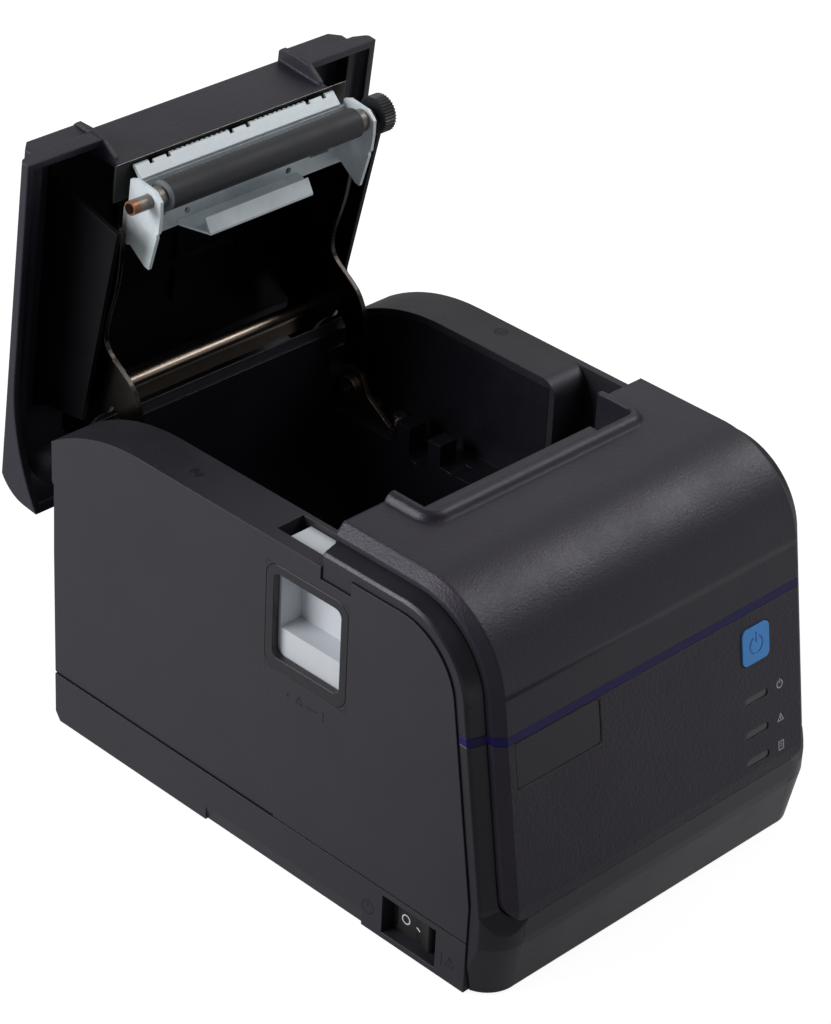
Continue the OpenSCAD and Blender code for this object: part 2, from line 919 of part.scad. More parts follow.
// lower edge of a hinge arm, from its tip to the hinge
arm_edge = curve([
  [4.5, 98.2], [14, 98], [24, 98.9], [34, 101], [40, 101.9], [44, 101.4], [47, 99], [49.5, 94.4],
  [52.9, 88.6], [57, 85.2], [62, 83], [70, 81], [79, 79.6], [86.8, 77.8], [94, 76]
], 3);

// flat pattern of a hinge arm, seen from the side
module arm_web() {
  difference() {
    polygon(concat([[2, 103.8], [2, 99.5], [4.5, 98.2]], [for (i = [0 : 24]) arm_edge[i]],
                   [[64.5, 96], [86, 104], [86, 118], [64, 118], [60, 107.4], [44, 107.4], [34, 104.2]]));
    translate([hinge_y, hinge_z])
      circle(r = 23.5);
  }
}

module arm_limb() {
  union() {
    polygon(concat([for (i = [18 : 36]) arm_edge[i]],
                   [[86.8, 89.2], [83, 89.6], [68.4, 90.6], [65, 94], [62.6, 100], [55, 100]]));
    translate([hinge_y, hinge_z])
      circle(r = 6);
  }
}

module hinge_arm(side) {
  opened()
    color(nickel)
      difference() {
        across(side * arm_x - 0.8, side * arm_x + 0.8)
          union() {
            arm_web();
            arm_limb();
          }
        rod(side * arm_x - 8, side * arm_x + 8, hinge_y, hinge_z, 2.55);
      }
}

module hinge_arm_left() {
  hinge_arm(-1);
}

module hinge_arm_right() {
  hinge_arm(1);
}

module cross_bar() {
  opened()
    color(nickel) {
      rod(-47.1, 47.1, 72.4, 111.1, 2.6);
      across(-47, 47)
        polygon([[72.4, 109.6], [72.4, 110.9], [79.5, 110.9], [79.5, 109.6]]);
    }
}

module platen_bracket() {
  opened()
    mech()
      color(zinc)
        difference() {
          union() {
            both_sides()
              across(43.4, 44.6)
                polygon([[-12, 102.6], [-13.2, 100], [-13, 92], [-10.6, 88.8], [-5.6, 88.4], [0.2, 88.6], [0.9, 89.4],
                         [2.2, 89.2], [14.2, 91.4], [14, 93.4], [10.4, 99.6], [9, 102.6]]);
            block([-44.6, -10.2, 101.4], [44.6, 10.6, 102.6]);
            // turned-up feet for the cover's screws
            both_sides()
              block([36, 0, 102], [43, 9, 106.2]);
          }
          rod(-50, 50, platen_y, platen_z, 2.35);
          for (x = [-21, 21])
            translate([x, 6.3, 90])
              cylinder(h = 14, r = 1.1);
          for (x = [-34, 34])
            block([x - 4, 3.4, 90], [x + 4, 4.8, 104]);
        }
}

module platen_bushes() {
  opened()
    mech()
      color([0.72, 0.5, 0.34])
        difference() {
          union() {
            rod(-52.2, -40.4, platen_y, platen_z, 2.3);
            rod(40.4, 47.4, platen_y, platen_z, 2.3);
            rod(-43.2, -40.2, platen_y, platen_z, 3.6);
            rod(40.2, 43.2, platen_y, platen_z, 3.6);
          }
          rod(-60, 60, platen_y, platen_z, shaft_d / 2 - 0.36);
        }
}

module tear_comb() {
  opened()
    mech()
      color(zinc)
        difference() {
          across(-41, 41)
            polygon([[-14.1, 105.9], [-14.1, 105.1], [-11.3, 101.6], [-10.4, 101.6], [-10.4, 102.7],
                     [-8, 102.7], [-8, 103.4], [-11, 103.4], [-13.3, 105.9]]);
          // three notches and the fine teeth between them
          for (x = [-31.3, 1, 33]) {
            block([x - 4.2, -15, 105.3], [x + 4.2, -12, 106.5]);
            for (e = [-3.4, 3.4])
              block([x + e - 0.8, -15, 104.3], [x + e + 0.8, -12, 106.5]);
          }
          for (i = [0 : 10], x = [-25, 7])
            block([x + i * 2, -15, 105.4], [x + 0.8 + i * 2, -13, 106.5]);
        }
}

module fixed_blade() {
  opened()
    mech()
      color(steel) {
        across(-47.4, 47.4)
          polygon([[-15.4, 106.35], [-14.6, 107.1], [-2.4, 107.1], [-2.4, 106.3]]);
      }
}

module paper_guide() {
  opened()
    mech()
      color(zinc) {
        along(8.6, 9.4)
          polygon([[-25.5, 101.35], [25.5, 101.35], [25.5, 99.5], [21.4, 90.4], [-21.4, 90.4], [-25.5, 99.5]]);
        across(-21.4, 21.4)
          polygon([[9.4, 90], [8.6, 90.1], [4.6, 93], [5.1, 93.7], [9.4, 90.9]]);
      }
}

module cover_screws() {
  opened()
    color(steel)
      for (x = [-40, 40]) {
        // through the liner, and through the bracket
        translate([x, 30, 122.4])
          cylinder(h = 3.5, r = 1.3);
        translate([x, 30, 122.8])
          cylinder(h = 1.7, r = 2.6);
      }
}

module platen_shaft() {
  opened()
    mech()
      color(steel)
        rod(-52.6, 53, platen_y, platen_z, shaft_d / 2 - 0.4);
}

module platen_roller() {
  opened()
    mech()
      color([0.2, 0.2, 0.21])
        difference() {
          rod(-platen_len / 2, platen_len / 2, platen_y, platen_z, platen_d / 2);
          rod(-60, 60, platen_y, platen_z, shaft_d / 2 - 0.4);
        }
}

module platen_gear() {
  opened()
    mech()
      color([0.08, 0.08, 0.08])
        difference() {
          translate([47.8, platen_y, platen_z])
            rotate([0, 90, 0])
              toothed(gear_d / 2, 4.6, 36, 0.7);
          rod(40, 60, platen_y, platen_z, shaft_d / 2 - 0.4);
          rod(51.6, 60, platen_y, platen_z, 4.2);
        }
}

// ---- print mechanism -----------------------------------------------------

motor_y = -33.9;
motor_z = 85.1;
idler_y = -22.7;
idler_z = 88.5;
latch_y = -10.6;
latch_z = 66.6;

module head_frame() {
  mech()
    color(steel)
      difference() {
        union() {
          both_sides()
            across(45.2, 46.4)
              polygon([[-46, 60.1], [-46, 102.9], [-14.5, 102.9], [-12.8, 99], [-3.6, 99], [-3.6, 102.9],
                       [-1, 102.9], [-1, 60.1]]);
          block([-46.2, -46, 60.1], [46.2, -1, 61.3]);
          block([-46.2, -46, 60.2], [46.2, -44.8, 102.9]);
          block([-45.4, -21.8, 61], [45.4, -20.8, 96]);
        }
        // seats for the platen's bushes
        both_sides()
          across(44, 48)
            union() {
              translate([platen_y, platen_z])
                circle(r = 2.6);
              polygon([[-11.4, 93.8], [-12.9, 104], [-1.6, 104], [-6.2, 93.8]]);
            }
        rod(-48, 48, latch_y, latch_z, 2.56);
        rod(44, 48, motor_y, motor_z, 5);
        rod(44, 48, idler_y, idler_z, 1.5);
        rod(-48, 48, -15.6, 68, 1.56);
        for (x = [-40, 40], y = [-42, -6])
          translate([x, y, 58])
            cylinder(h = 6, r = 1.6);
        // window for the cutter's motor
        block([-39, -46.5, 70], [-10, -44, 100]);
      }
}

module print_head() {
  mech()
    color([0.75, 0.76, 0.78]) {
      block([-41.5, -18, 66.4], [41.5, -15.2, 100]);
      rod(-46.6, 46.6, -15.6, 68, 1.5);
      block([-40.8, -15.3, 86], [40.8, -14.2, 99.6]);
      // glazed heating line
      block([-40, -14.3, 93.3], [40, -13.8, 94.3]);
    }
}

module head_springs() {
  mech()
    color(steel)
      for (x = [-30, 0, 30])
        translate([x, -18.45, 92])
          rotate([90, 0, 0])
            coil(2.6, 2.3, 4);
}

module latch_hooks() {
  mech()
    color(steel) {
      rod(-47.8, 47.8, latch_y, latch_z, 2.5);
      both_sides() {
        rod(46.7, 47.5, latch_y, latch_z, 4.6);
        across(46.7, 47.5)
          polygon([[-14.8, 67.6], [-17.6, 90], [-16.4, 100], [-11.8, 99.4], [-11.75, 97.2],
                   [-13.6, 95.4], [-14, 90], [-6.6, 67.6]]);
      }
    }
}

module feed_motor() {
  mech()
    color([0.3, 0.3, 0.32]) {
      difference() {
        rod(20, 45.1, motor_y, motor_z, 10.4);
        rod(30, 60, motor_y, motor_z, 1.5);
      }
      rod(19, 20.2, motor_y, motor_z, 4);
    }
}

module motor_pinion() {
  mech() {
    color(steel)
      rod(34, 48.2, motor_y, motor_z, 1.44);
    color([0.85, 0.83, 0.76])
      translate([48, motor_y, motor_z])
        rotate([0, 90, 0])
          toothed(3.4, 4.4, 14, 0.8);
  }
}

module idler_gear() {
  mech()
    color([0.85, 0.83, 0.76]) {
      translate([48, idler_y, idler_z])
        rotate([0, 90, 0])
          toothed(8, 4.4, 32, 0.9);
      rod(45.3, 48.1, idler_y, idler_z, 1.44);
    }
}

module cutter_housing() {
  mech()
    color(steel)
      difference() {
        union() {
          block([-46.4, -44, 102.9], [46.4, -15.6, 104]);
          block([-44.3, -44, 108.5], [44.3, -15.6, 109.4]);
          both_sides()
            block([43, -44, 103.9], [44.3, -15.6, 108.6]);
        }
        translate([-30.2, -30, 100])
          cylinder(h = 6, r = 1.6);
      }
}

module cutter_blade() {
  mech()
    color([0.78, 0.78, 0.8]) {
      translate([0, 0, 107.3])
        linear_extrude(0.8)
          polygon([[-42, -39], [-42, -15.2], [0, -17.2], [42, -15.2], [42, -39]]);
      // rack that the pinion drives
      block([-26, -39, 104.8], [-24.4, -19, 107.4]);
    }
}

module cutter_pinion() {
  mech()
    color([0.85, 0.83, 0.76]) {
      translate([-30.2, -30, 104.7])
        toothed(4, 2.2, 16, 0.8);
      translate([-30.2, -30, 101])
        cylinder(h = 4, r = 1.5);
    }
}

module cutter_motor() {
  mech()
    color([0.6, 0.6, 0.62])
      difference() {
        union() {
          translate([-30.2, -30, 80])
            cylinder(h = 22.6, r = 7.4);
          translate([-30.2, -30, 78])
            cylinder(h = 3, r = 2.4);
        }
        translate([-30.2, -30, 100])
          cylinder(h = 6, r = 1.56);
      }
}

// ---- electronics and fixings ------------------------------------------------

module main_board() {
  color([0.1, 0.35, 0.2])
    difference() {
      block([-55, -26, 9.1], [55, 92, 10.7]);
      for (p = board_at)
        translate([p[0], p[1], 5])
          cylinder(h = 10, r = 1.6);
    }
  color([0.08, 0.08, 0.08]) {
    block([-10, 10, 10.7], [10, 30, 12.6]);
    block([20, 0, 10.7], [32, 8, 12.4]);
    block([-38, 40, 10.7], [-28, 54, 12.6]);
  }
  color([0.2, 0.2, 0.28])
    for (x = [-44, -34, 38])
      translate([x, 74, 10.7])
        cylinder(h = 13, r = 4);
}

module rear_plate() {
  color(dark)
    difference() {
      block([-51.8, 94.9, 6.2], [51.8, 96.4, 31.8]);
      translate([-36, 90, 19.5])
        rotate([-90, 0, 0])
          cylinder(h = 12, r = 7.2);
      block([-12.4, 90, 10.6], [0.4, 100, 22.4]);
      block([8.6, 90, 10.6], [25.4, 100, 25.2]);
      block([33.6, 90, 10.6], [46.4, 100, 23.4]);
    }
}

module power_inlet() {
  color([0.1, 0.1, 0.1])
    difference() {
      union() {
        block([-44.5, 81, 10.8], [-27.5, 94.8, 28]);
        translate([-36, 94, 19.5])
          rotate([-90, 0, 0])
            cylinder(h = 2.6, r = 7);
      }
      translate([-36, 86, 19.5])
        rotate([-90, 0, 0])
          cylinder(h = 20, r = 5.6);
    }
  color([0.8, 0.7, 0.4])
    for (a = [30, 150, 270])
      translate([-36 + 3 * cos(a), 85.9, 19.5 + 3 * sin(a)])
        rotate([-90, 0, 0])
          cylinder(h = 8, r = 0.7);
}

module data_sockets() {
  color(steel) {
    difference() {
      block([-12, 80, 10.8], [0, 96.4, 22]);
      block([-10.2, 84, 12.6], [-1.8, 98, 20.2]);
    }
    block([-8.6, 83.9, 15], [-3.4, 94, 17.8]);
    difference() {
      block([9, 78, 10.8], [25, 96.4, 24.8]);
      block([11.1, 84, 12.6], [22.9, 98, 20.6]);
      block([14, 84, 20], [20, 98, 22.4]);
    }
  }
}

module drawer_socket() {
  color([0.75, 0.74, 0.7])
    difference() {
      block([34, 80, 10.8], [46, 96.4, 23]);
      block([35.2, 85, 12.4], [44.8, 98, 19]);
      block([37.5, 85, 18], [42.5, 98, 21.2]);
    }
}

module sensor_lever() {
  color([0.85, 0.85, 0.82])
    union() {
      translate([-45.6, 52.6, 50])
        rotate([-90, 0, 0])
          cylinder(h = 15.4, r = 1.2);
      block([-46.8, 56, 36], [-44.4, 64.6, 51.4]);
      across(-44.6, -39)
        polygon([[58, 38], [58, 48], [62.6, 48], [62.6, 38]]);
    }
}

module rubber_feet() {
  color([0.06, 0.06, 0.06])
    for (p = foot_at)
      both_sides()
        translate([p[0], p[1], -origin_z])
          cylinder(h = 2, r = 6);
}

module case_screws() {
  color(steel)
    for (p = screw_at)
      both_sides()
        translate([p[0], p[1], 0.6])
          difference() {
            union() {
              cylinder(h = 2, r = 2.8);
              cylinder(h = 22, r = 1.45);
            }
            translate([0, 0, -1])
              cylinder(h = 2, r = 1.2, $fn = 6);
          }
}

module mechanism_screws() {
  color(steel) {
    for (x = [-40, 40], y = [-43.6, -7.6])
      translate([x, y, 53.2]) {
        cylinder(h = 6.3, r = 1.25);
        translate([0, 0, 6.3])
          cylinder(h = 1.6, r = 2.6);
      }
    for (p = board_at)
      translate([p[0], p[1], 5]) {
        cylinder(h = 5.7, r = 1.25);
        translate([0, 0, 5.7])
          cylinder(h = 1.5, r = 2.5);
      }
    for (y = [70, 82])
      both_sides()
        translate([52, y, 74.9]) {
          cylinder(h = 1.5, r = 1.25);
          translate([0, 0, 1.4])
            cylinder(h = 1.4, r = 2.4);
        }
  }
}

// ---- assembly ---------------------------------------------------------

placed() base_tub();
placed() upper_case();
placed() paper_bucket();
placed() front_frame();
placed() front_cover();
placed() front_panel();
placed() trim_stripe();
placed() badge_plate();
placed() led_lenses();
placed() panel_board();
placed() feed_button();
placed() window_bezel();
placed() release_lever();
placed() lever_spring();
placed() switch_body();
placed() power_rocker();
placed() hinge_brackets();
placed() hinge_pins();
placed() cover_shell();
placed() cover_frame();
placed() hinge_arm_left();
placed() hinge_arm_right();
placed() cross_bar();
placed() platen_bracket();
placed() platen_bushes();
placed() tear_comb();
placed() fixed_blade();
placed() paper_guide();
placed() cover_screws();
placed() platen_shaft();
placed() platen_roller();
placed() platen_gear();
placed() head_frame();
placed() print_head();
placed() head_springs();
placed() latch_hooks();
placed() feed_motor();
placed() motor_pinion();
placed() idler_gear();
placed() cutter_housing();
placed() cutter_blade();
placed() cutter_pinion();
placed() cutter_motor();
placed() main_board();
placed() rear_plate();
placed() power_inlet();
placed() data_sockets();
placed() drawer_socket();
placed() sensor_lever();
placed() rubber_feet();
placed() case_screws();
placed() mechanism_screws();
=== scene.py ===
import math

import bmesh
import bpy
from mathutils import Matrix, Vector


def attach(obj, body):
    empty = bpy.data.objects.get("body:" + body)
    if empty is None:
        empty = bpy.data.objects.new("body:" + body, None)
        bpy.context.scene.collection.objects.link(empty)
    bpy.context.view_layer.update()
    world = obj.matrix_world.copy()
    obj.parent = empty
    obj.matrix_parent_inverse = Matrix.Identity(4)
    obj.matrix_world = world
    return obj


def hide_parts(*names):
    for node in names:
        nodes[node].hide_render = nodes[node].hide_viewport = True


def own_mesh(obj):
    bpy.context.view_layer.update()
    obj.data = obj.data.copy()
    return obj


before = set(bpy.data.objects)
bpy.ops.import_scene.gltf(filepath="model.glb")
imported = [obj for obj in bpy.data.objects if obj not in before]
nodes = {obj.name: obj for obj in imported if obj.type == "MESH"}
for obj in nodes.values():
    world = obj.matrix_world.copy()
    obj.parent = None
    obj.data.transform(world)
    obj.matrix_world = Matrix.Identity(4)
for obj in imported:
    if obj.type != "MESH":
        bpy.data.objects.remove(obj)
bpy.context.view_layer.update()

# from the millimetres of part.scad to the part's own frame
SHIFT = Vector((0, -16.743, 0.8))
HALF_W = 72.5
SEAM_Z = 17.8


def mm(x, y, z):
    """A point of part.scad, in metres in the part's own frame."""
    return (Vector((x, y, z)) + SHIFT) / 1000


# ---- camera -------------------------------------------------------------

FOCAL_PIXELS = 3464.2
IMAGE_HEIGHT = 1024
SENSOR_MM = 36


def add_camera():
    yaw, pitch, roll = (math.radians(a) for a in (46.403, 31.759, 2.960))
    f = Vector((math.sin(yaw) * math.cos(pitch), math.cos(yaw) * math.cos(pitch), -math.sin(pitch)))
    r = Vector((math.cos(yaw), -math.sin(yaw), 0))
    u = r.cross(f)
    right = math.cos(roll) * r + math.sin(roll) * u
    up = -math.sin(roll) * r + math.cos(roll) * u
    data = bpy.data.cameras.new("camera")
    data.sensor_fit = "VERTICAL"
    data.sensor_height = SENSOR_MM
    data.lens = FOCAL_PIXELS / IMAGE_HEIGHT * SENSOR_MM
    data.clip_start = 0.02
    data.clip_end = 20
    cam = bpy.data.objects.new("camera", data)
    m = Matrix((right, up, -f)).transposed().to_4x4()
    m.translation = mm(-653.17, -610.6, 647.08)
    cam.matrix_world = m
    bpy.context.scene.collection.objects.link(cam)
    bpy.context.scene.camera = cam


# ---- materials ------------------------------------------------------------

def surface_group():
    """Mottling, fine grain, soft edges and an edge mask that lightens edges, partly as rubbing and
    partly as painted highlights, shared by every material.
    """
    g = bpy.data.node_groups.new("surface", "ShaderNodeTree")
    io = g.interface
    for name, kind, default in (
        ("Grain size", "NodeSocketFloat", 1400.0),
        ("Grain depth", "NodeSocketFloat", 0.3),
        ("Patch size", "NodeSocketFloat", 45.0),
        ("Edge radius", "NodeSocketFloat", 0.0003),
        ("Stretch", "NodeSocketVector", (1.0, 1.0, 1.0)),
    ):
        s = io.new_socket(name, in_out="INPUT", socket_type=kind)
        s.default_value = default
    for name, kind in (("Patches", "NodeSocketFloat"), ("Grain", "NodeSocketFloat"),
                       ("Edges", "NodeSocketFloat"), ("Normal", "NodeSocketVector")):
        io.new_socket(name, in_out="OUTPUT", socket_type=kind)
    n, link = g.nodes, g.links.new
    gin, gout = n.new("NodeGroupInput"), n.new("NodeGroupOutput")
    tc = n.new("ShaderNodeTexCoord")
    stretch = n.new("ShaderNodeVectorMath")
    stretch.operation = "MULTIPLY"
    link(tc.outputs["Object"], stretch.inputs[0])
    link(gin.outputs["Stretch"], stretch.inputs[1])
    fine = n.new("ShaderNodeTexNoise")
    fine.inputs["Detail"].default_value = 3
    link(stretch.outputs[0], fine.inputs["Vector"])
    link(gin.outputs["Grain size"], fine.inputs["Scale"])
    patch = n.new("ShaderNodeTexNoise")
    patch.inputs["Detail"].default_value = 4
    patch.inputs["Roughness"].default_value = 0.6
    link(tc.outputs["Object"], patch.inputs["Vector"])
    link(gin.outputs["Patch size"], patch.inputs["Scale"])
    bevel = n.new("ShaderNodeBevel")
    bevel.samples = 4
    link(gin.outputs["Edge radius"], bevel.inputs["Radius"])
    bump = n.new("ShaderNodeBump")
    deep = n.new("ShaderNodeMath")
    deep.operation = "MULTIPLY"
    deep.inputs[1].default_value = 0.0001
    link(gin.outputs["Grain depth"], deep.inputs[0])
    link(deep.outputs["Value"], bump.inputs["Distance"])
    link(fine.outputs["Fac"], bump.inputs["Height"])
    link(bevel.outputs["Normal"], bump.inputs["Normal"])
    geo = n.new("ShaderNodeNewGeometry")
    dot = n.new("ShaderNodeVectorMath")
    dot.operation = "DOT_PRODUCT"
    link(bevel.outputs["Normal"], dot.inputs[0])
    link(geo.outputs["Normal"], dot.inputs[1])
    edge = n.new("ShaderNodeMapRange")
    edge.inputs["From Min"].default_value = 0.995
    edge.inputs["From Max"].default_value = 0.8
    link(dot.outputs["Value"], edge.inputs["Value"])
    broken = n.new("ShaderNodeMath")
    broken.operation = "MULTIPLY"
    link(edge.outputs["Result"], broken.inputs[0])
    link(patch.outputs["Fac"], broken.inputs[1])
    link(patch.outputs["Fac"], gout.inputs["Patches"])
    link(fine.outputs["Fac"], gout.inputs["Grain"])
    link(broken.outputs["Value"], gout.inputs["Edges"])
    link(bump.outputs["Normal"], gout.inputs["Normal"])
    return g


SURFACE = surface_group()


def marks_group(name, planes):
    """Small marks as a mask. Each plane is (origin, across, up, shapes), and a reach where 0.6 mm
    is too little. The shapes are in mm on that plane:
    ("ring", x, y, radius, gap), ("bar", x, y, half width, half height),
    ("tri", x, y, radius) and ("frame", x, y, half width, half height)."""
    g = bpy.data.node_groups.new(name, "ShaderNodeTree")
    g.interface.new_socket("Mask", in_out="OUTPUT", socket_type="NodeSocketFloat")
    n, link = g.nodes, g.links.new
    gout = n.new("NodeGroupOutput")
    tc = n.new("ShaderNodeTexCoord")

    def op(kind, *args):
        node = n.new("ShaderNodeMath")
        node.operation = kind
        for i, a in enumerate(args):
            if isinstance(a, (int, float)):
                node.inputs[i].default_value = a
            else:
                link(a, node.inputs[i])
        return node.outputs[0]

    total = None
    for origin, across, up, shapes, *reach in planes:
        rel = n.new("ShaderNodeVectorMath")
        rel.operation = "SUBTRACT"
        link(tc.outputs["Object"], rel.inputs[0])
        rel.inputs[1].default_value = origin
        part = []
        for axis in (across, up, Vector(across).cross(Vector(up))):
            d = n.new("ShaderNodeVectorMath")
            d.operation = "DOT_PRODUCT"
            link(rel.outputs[0], d.inputs[0])
            d.inputs[1].default_value = [v * 1000 for v in axis]
            part.append(d.outputs["Value"])
        best = None
        for kind, cx, cy, *size in shapes:
            x, y = op("SUBTRACT", part[0], cx), op("SUBTRACT", part[1], cy)
            ax, ay = op("ABSOLUTE", x), op("ABSOLUTE", y)
            if kind == "ring":
                r = op("SQRT", op("ADD", op("MULTIPLY", x, x), op("MULTIPLY", y, y)))
                d = op("SUBTRACT", op("ABSOLUTE", op("SUBTRACT", r, size[0])), 0.2)
                if size[1]:
                    d = op("MAXIMUM", d, op("MINIMUM", op("SUBTRACT", size[1], ax), y))
            elif kind == "tri":
                low = op("SUBTRACT", op("MULTIPLY", y, -1), size[0] * 0.5)
                side = op("SUBTRACT", op("ADD", op("MULTIPLY", ax, 0.866), op("MULTIPLY", y, 0.5)),
                          size[0] * 0.5)
                d = op("SUBTRACT", op("ABSOLUTE", op("MAXIMUM", low, side)), 0.16)
            else:
                d = op("MAXIMUM", op("SUBTRACT", ax, size[0]), op("SUBTRACT", ay, size[1]))
                if kind == "frame":
                    d = op("SUBTRACT", op("ABSOLUTE", d), size[2] if len(size) > 2 else 0.16)
            best = d if best is None else op("MINIMUM", best, d)
        ramp = n.new("ShaderNodeMapRange")
        ramp.inputs["From Min"].default_value = 0.07
        ramp.inputs["From Max"].default_value = -0.07
        link(best, ramp.inputs["Value"])
        near = op("LESS_THAN", op("ABSOLUTE", part[2]), reach[0] if reach else 0.6)
        mask = op("MULTIPLY", ramp.outputs["Result"], near)
        total = mask if total is None else op("MAXIMUM", total, mask)
    link(total, gout.inputs["Mask"])
    return g


def lin(c):
    """sRGB 0..255 to linear."""
    out = []
    for v in c:
        v /= 255
        out.append(v / 12.92 if v <= 0.04045 else ((v + 0.055) / 1.055) ** 2.4)
    return out


def scaled(c, k):
    """A colour made k times as bright, with its alpha."""
    return [min(1, v * k) for v in c] + [1]


def material(name, rgb, rough=0.5, metal=0.0, grain=1400, depth=0.3, patch=45, spread=0.12,
             rough_spread=0.1, edge_wear_and_highlight=1.6, edge=0.0003, stretch=(1, 1, 1), spec=0.5, coat=0.0,
             coat_rough=0.2, streaks=None, tint=(1, 1, 1), marks=()):
    """A finish with patches, grain and lightened edges, partly rubbed and partly painted edge
    highlights. streaks draws the patches out along an axis, and each of marks is (group, ink, how
    deep it is cut in metres)."""
    m = bpy.data.materials.new(name)
    m.use_nodes = True
    t = m.node_tree
    n, link = t.nodes, t.links.new
    b = n["Principled BSDF"]
    g = n.new("ShaderNodeGroup")
    g.node_tree = SURFACE
    g.inputs["Grain size"].default_value = grain
    g.inputs["Grain depth"].default_value = depth
    g.inputs["Patch size"].default_value = patch
    g.inputs["Edge radius"].default_value = edge
    g.inputs["Stretch"].default_value = stretch
    tone = n.new("ShaderNodeMix")
    tone.data_type = "RGBA"
    tone.inputs["A"].default_value = scaled(rgb, 1 - spread)
    tone.inputs["B"].default_value = scaled(rgb, 1 + spread)
    level = n.new("ShaderNodeMapRange")
    level.inputs["From Min"].default_value = 0.3
    level.inputs["From Max"].default_value = 0.7
    link(g.outputs["Patches"], level.inputs["Value"])
    fac = level.outputs["Result"]
    if streaks:
        tc = n.new("ShaderNodeTexCoord")
        mp = n.new("ShaderNodeMapping")
        mp.inputs["Scale"].default_value = streaks
        link(tc.outputs["Object"], mp.inputs["Vector"])
        s = n.new("ShaderNodeTexNoise")
        s.inputs["Scale"].default_value = 1.0
        s.inputs["Detail"].default_value = 5
        link(mp.outputs["Vector"], s.inputs["Vector"])
        mid = n.new("ShaderNodeMath")
        mid.operation = "MULTIPLY_ADD"
        mid.inputs[1].default_value = 0.7
        link(s.outputs["Fac"], mid.inputs[0])
        half = n.new("ShaderNodeMath")
        half.operation = "MULTIPLY"
        half.inputs[1].default_value = 0.35
        link(fac, half.inputs[0])
        link(half.outputs["Value"], mid.inputs[2])
        fac = mid.outputs["Value"]
    link(fac, tone.inputs["Factor"])
    # lightened edges: partly rubbed, partly painted highlights where the rounded edges would catch
    # the lamps
    worn_and_highlit = n.new("ShaderNodeMix")
    worn_and_highlit.data_type = "RGBA"
    worn_and_highlit.inputs["B"].default_value = scaled(rgb, edge_wear_and_highlight)
    link(tone.outputs["Result"], worn_and_highlit.inputs["A"])
    link(g.outputs["Edges"], worn_and_highlit.inputs["Factor"])
    colour, normal = worn_and_highlit.outputs["Result"], g.outputs["Normal"]
    for group, ink, sunk in marks:
        mk = n.new("ShaderNodeGroup")
        mk.node_tree = group
        inked = n.new("ShaderNodeMix")
        inked.data_type = "RGBA"
        inked.inputs["B"].default_value = (*lin(ink), 1)
        link(colour, inked.inputs["A"])
        link(mk.outputs["Mask"], inked.inputs["Factor"])
        colour = inked.outputs["Result"]
        if sunk:
            dent = n.new("ShaderNodeBump")
            dent.invert = True
            dent.inputs["Distance"].default_value = sunk
            link(mk.outputs["Mask"], dent.inputs["Height"])
            link(normal, dent.inputs["Normal"])
            normal = dent.outputs["Normal"]
    link(colour, b.inputs["Base Color"])
    r = n.new("ShaderNodeMapRange")
    r.inputs["From Min"].default_value = 0.25
    r.inputs["From Max"].default_value = 0.75
    r.inputs["To Min"].default_value = max(0.02, rough - rough_spread)
    r.inputs["To Max"].default_value = min(1.0, rough + rough_spread)
    if streaks:
        link(fac, r.inputs["Value"])
    else:
        add = n.new("ShaderNodeMath")
        add.operation = "MULTIPLY_ADD"
        add.inputs[1].default_value = 0.4
        link(g.outputs["Grain"], add.inputs[0])
        part = n.new("ShaderNodeMath")
        part.operation = "MULTIPLY"
        part.inputs[1].default_value = 0.6
        link(g.outputs["Patches"], part.inputs[0])
        link(part.outputs["Value"], add.inputs[2])
        link(add.outputs["Value"], r.inputs["Value"])
    link(r.outputs["Result"], b.inputs["Roughness"])
    link(normal, b.inputs["Normal"])
    b.inputs["Metallic"].default_value = metal
    b.inputs["Specular IOR Level"].default_value = spec
    b.inputs["Specular Tint"].default_value = (*tint, 1)
    b.inputs["Coat Weight"].default_value = coat
    b.inputs["Coat Roughness"].default_value = coat_rough
    return m


def dress(name, mat):
    """Gives a node of the part its finish."""
    for s in nodes[name].material_slots:
        s.material = mat


# the slightly violet sheen of the black plastics, and the case's own colour
COOL = (0.93, 0.9, 1.0)
CASE = lin((38, 37, 43))
# across and up on the side walls, on the rails, and on the sloping face
LEFT = ((0, 1, 0), (0, 0, 1))
TOP = ((1, 0, 0), (0, 1, 0))
FACE = ((1, 0, 0), (0, 0.15895, 0.98729))
FACE_POINT = mm(0, -95.41, 44)
SIGN_X = 53.5
EJECTOR_MARK = [("ring", 0, 0, 2.1, 0), ("ring", 0, 0, 1.2, 0), ("bar", 0, 0, 0.9, 0.22)]
WHOLE = [("bar", 0, 0, 500, 500)]
BASE_MARKS = marks_group("base marks", [
    (mm(-HALF_W, -46.7, 8), *LEFT, [("ring", 0, 0, 2.3, 0.8), ("bar", 0, 1.5, 0.22, 1.5)]),
    (mm(-HALF_W, -77.4, 7.2), *LEFT, [
        ("bar", 0, 0, 0.22, 2.4), ("tri", -3.4, 1.0, 1.0),
        ("bar", -3.4, -0.6, 1.9, 0.18), ("bar", -3.4, -1.5, 1.9, 0.18)]),
])
CASE_MARKS = marks_group("case marks", [
    (mm(-HALF_W, -17, 65), *LEFT, [
        ("bar", 7, 0, 0.5, 0.5), ("tri", 2.2, 0.2, 1.5),
        ("bar", -3, 0, 2.2, 0.22), ("bar", -8, 0, 0.22, 1.6)]),
    (mm(-64.5, 39.6, 115.4), *TOP, EJECTOR_MARK),
    (mm(66.4, 41.1, 115.4), *TOP, EJECTOR_MARK),
])
